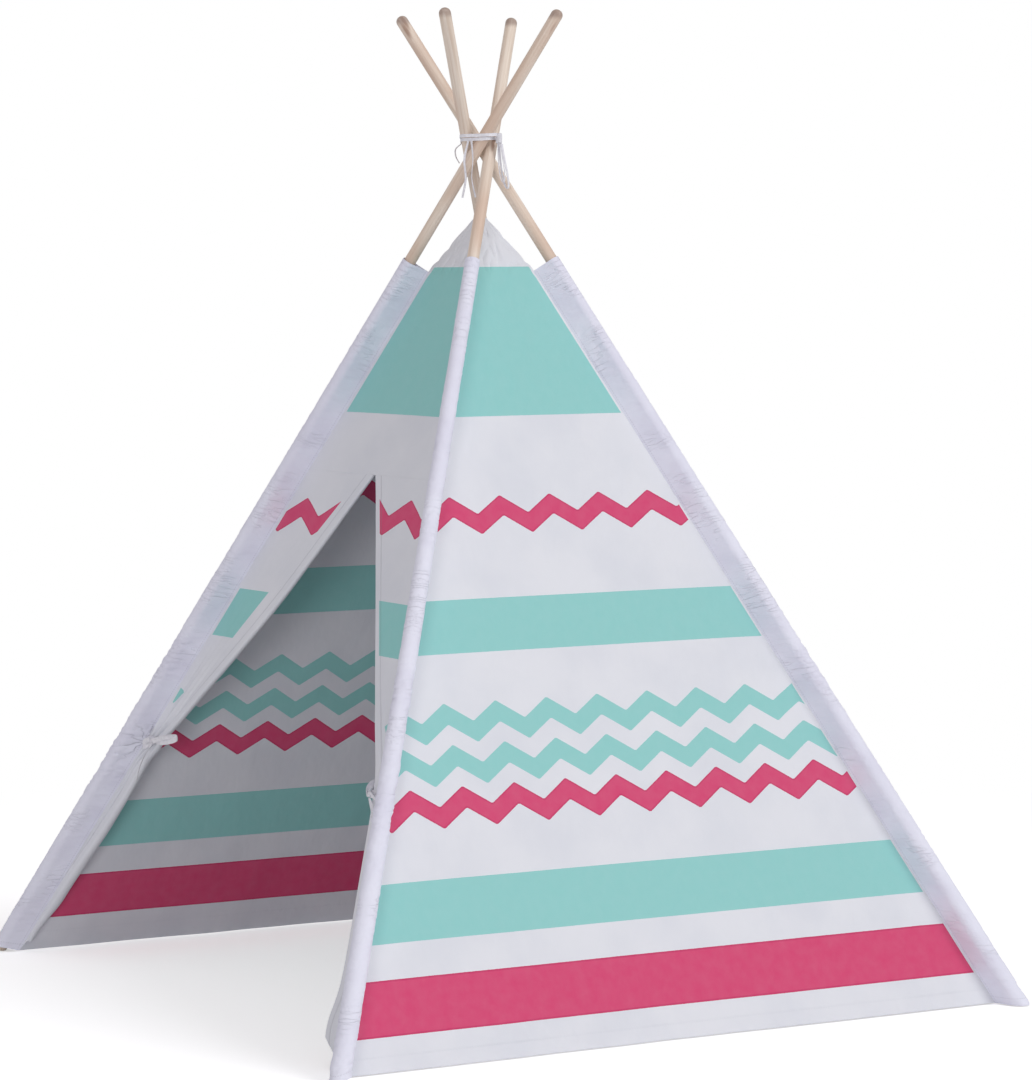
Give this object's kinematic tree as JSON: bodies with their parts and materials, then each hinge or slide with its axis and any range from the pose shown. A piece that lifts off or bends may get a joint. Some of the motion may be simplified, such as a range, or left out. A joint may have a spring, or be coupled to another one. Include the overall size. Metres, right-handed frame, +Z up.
{
  "type": "kids play teepee",
  "caption": "Kids play teepee: crossed wooden poles lashed at the top, corner sleeves and a printed cloth cover with tied-back door flaps.",
  "frame": {"origin": "on the floor, under the middle of the pole crossing and in the middle of the footprint", "axes": "+Z up, the door faces -Y, +X to the right of someone who faces the door"},
  "size_m": [1.2476, 1.1272, 1.4557],
  "materials": {
    "pole_wood": "fine-sanded bare pine",
    "ferrule": "thin drawn tube",
    "sleeve_cloth": "matte white woven cloth",
    "printed_cloth": "matte woven cloth, printed with mint and pink bands",
    "tape": "narrow woven tape"
  },
  "bodies": {
    "crown": {"lashing_wrap": "tape", "lashing_knot": "tape", "lashing_loop_a": "tape", "lashing_loop_b": "tape", "lashing_strand_a": "tape", "lashing_strand_b": "tape", "lashing_tail": "tape"},
    "front_left": {"front_left_pole_lower": "pole_wood", "front_left_pole_middle": "pole_wood", "front_left_pole_upper": "pole_wood", "front_left_lower_ferrule": "ferrule", "front_left_upper_ferrule": "ferrule", "front_left_sleeve": "sleeve_cloth", "front_panel": "printed_cloth", "left_door_flap": "printed_cloth", "left_tie_band": "tape", "left_tie_knot": "tape", "left_tie_inner_loop": "tape", "left_tie_outer_loop": "tape", "left_tie_tail": "tape"},
    "front_right": {"front_right_pole_lower": "pole_wood", "front_right_pole_middle": "pole_wood", "front_right_pole_upper": "pole_wood", "front_right_lower_ferrule": "ferrule", "front_right_upper_ferrule": "ferrule", "front_right_sleeve": "sleeve_cloth", "right_wall": "printed_cloth", "right_door_flap": "printed_cloth", "right_tie_band": "tape", "right_tie_knot": "tape", "right_tie_inner_loop": "tape", "right_tie_outer_loop": "tape", "right_tie_tail": "tape"},
    "rear_right": {"rear_right_pole_lower": "pole_wood", "rear_right_pole_middle": "pole_wood", "rear_right_pole_upper": "pole_wood", "rear_right_lower_ferrule": "ferrule", "rear_right_upper_ferrule": "ferrule", "rear_right_sleeve": "sleeve_cloth", "rear_wall": "printed_cloth"},
    "rear_left": {"rear_left_pole_lower": "pole_wood", "rear_left_pole_middle": "pole_wood", "rear_left_pole_upper": "pole_wood", "rear_left_lower_ferrule": "ferrule", "rear_left_upper_ferrule": "ferrule", "rear_left_sleeve": "sleeve_cloth", "left_wall": "printed_cloth"}
  },
  "joints": [
    {"name": "front_left_fold", "type": "hinge", "parent": "crown", "child": "front_left", "pos_m": [0.01105, -0.01225, 1.25], "axis": [0.6546, -0.756, 0], "range_deg": [0, 29], "deforming": ["front_left_sleeve", "front_panel", "left_door_flap", "left_tie_band", "left_tie_knot", "left_tie_inner_loop", "left_tie_outer_loop", "left_tie_tail", "lashing_wrap"]},
    {"name": "front_right_fold", "type": "hinge", "parent": "crown", "child": "front_right", "pos_m": [0.01105, 0.01225, 1.25], "axis": [0.6844, 0.7291, 0], "range_deg": [0, 29], "deforming": ["front_right_sleeve", "right_wall", "right_door_flap", "right_tie_band", "right_tie_knot", "right_tie_inner_loop", "right_tie_outer_loop", "right_tie_tail"]},
    {"name": "rear_right_fold", "type": "hinge", "parent": "crown", "child": "rear_right", "pos_m": [-0.01105, 0.01225, 1.25], "axis": [-0.6546, 0.756, 0], "range_deg": [0, 29], "deforming": ["rear_right_sleeve", "rear_wall"]},
    {"name": "rear_left_fold", "type": "hinge", "parent": "crown", "child": "rear_left", "pos_m": [-0.01105, -0.01225, 1.25], "axis": [-0.6844, -0.7291, 0], "range_deg": [0, 29], "deforming": ["rear_left_sleeve", "left_wall"]}
  ],
  "couplings": [
    {"joint": "front_right_fold", "follows": "front_left_fold", "ratio": 1},
    {"joint": "rear_right_fold", "follows": "front_left_fold", "ratio": 1},
    {"joint": "rear_left_fold", "follows": "front_left_fold", "ratio": 1}
  ]
}
